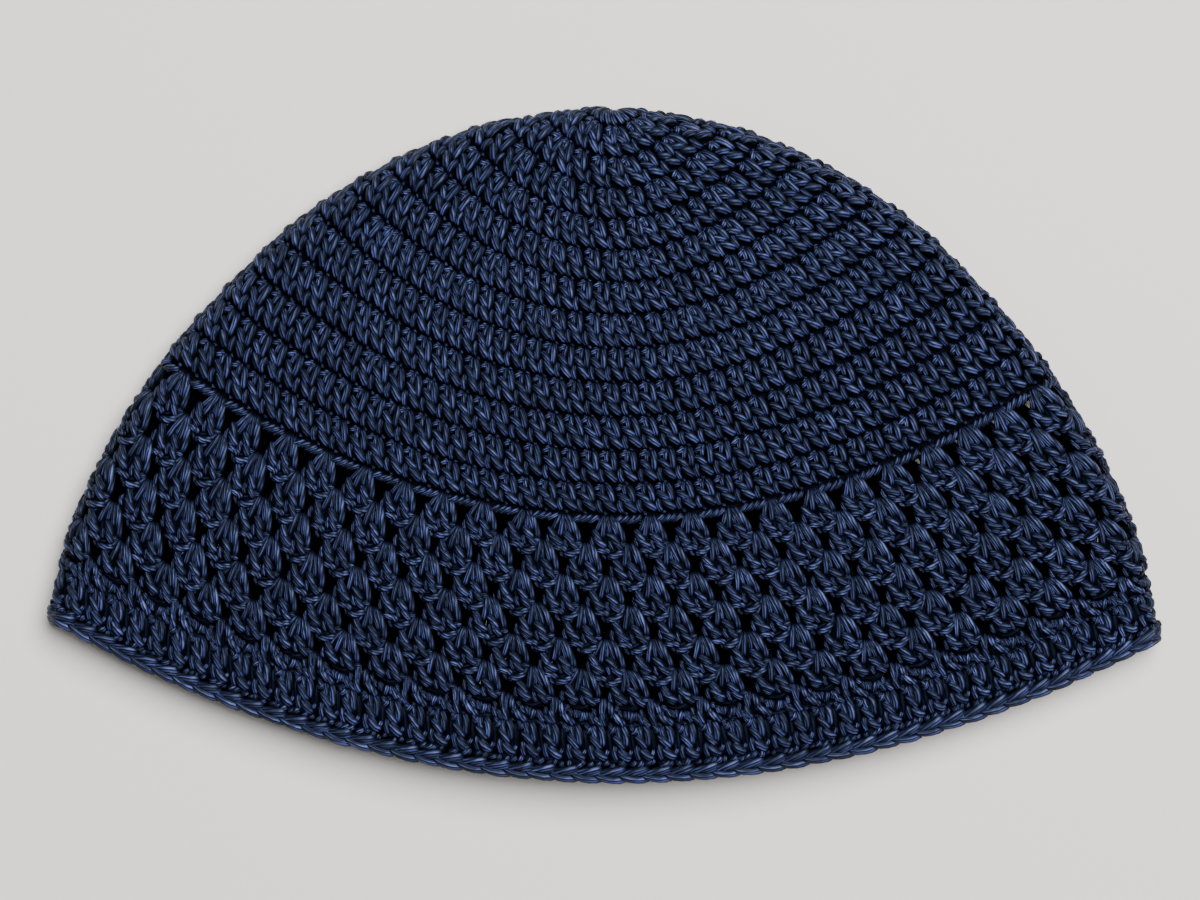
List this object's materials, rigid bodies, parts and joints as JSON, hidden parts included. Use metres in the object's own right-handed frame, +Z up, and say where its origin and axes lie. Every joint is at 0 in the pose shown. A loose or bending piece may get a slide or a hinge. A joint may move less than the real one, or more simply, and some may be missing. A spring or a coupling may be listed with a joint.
{
  "type": "crocheted kufi",
  "caption": "Soft round crocheted kufi laid flat and folded at both sides, with a close crown, an openwork shell band, a plain hem and a braided edge.",
  "frame": {"origin": "under the middle of the laid cap, on the surface it lies on", "axes": "+Z up from the surface, +Y towards the tip of the crown, +X to the right with the open rim at -Y"},
  "size_m": [0.2684, 0.1625, 0.0196],
  "materials": {
    "navy_yarn": "smooth plied yarn with a soft sheen"
  },
  "bodies": {
    "root": {"crown": "navy_yarn", "shell_band": "navy_yarn", "hem_band": "navy_yarn", "edge_braid": "navy_yarn"}
  },
  "joints": []
}
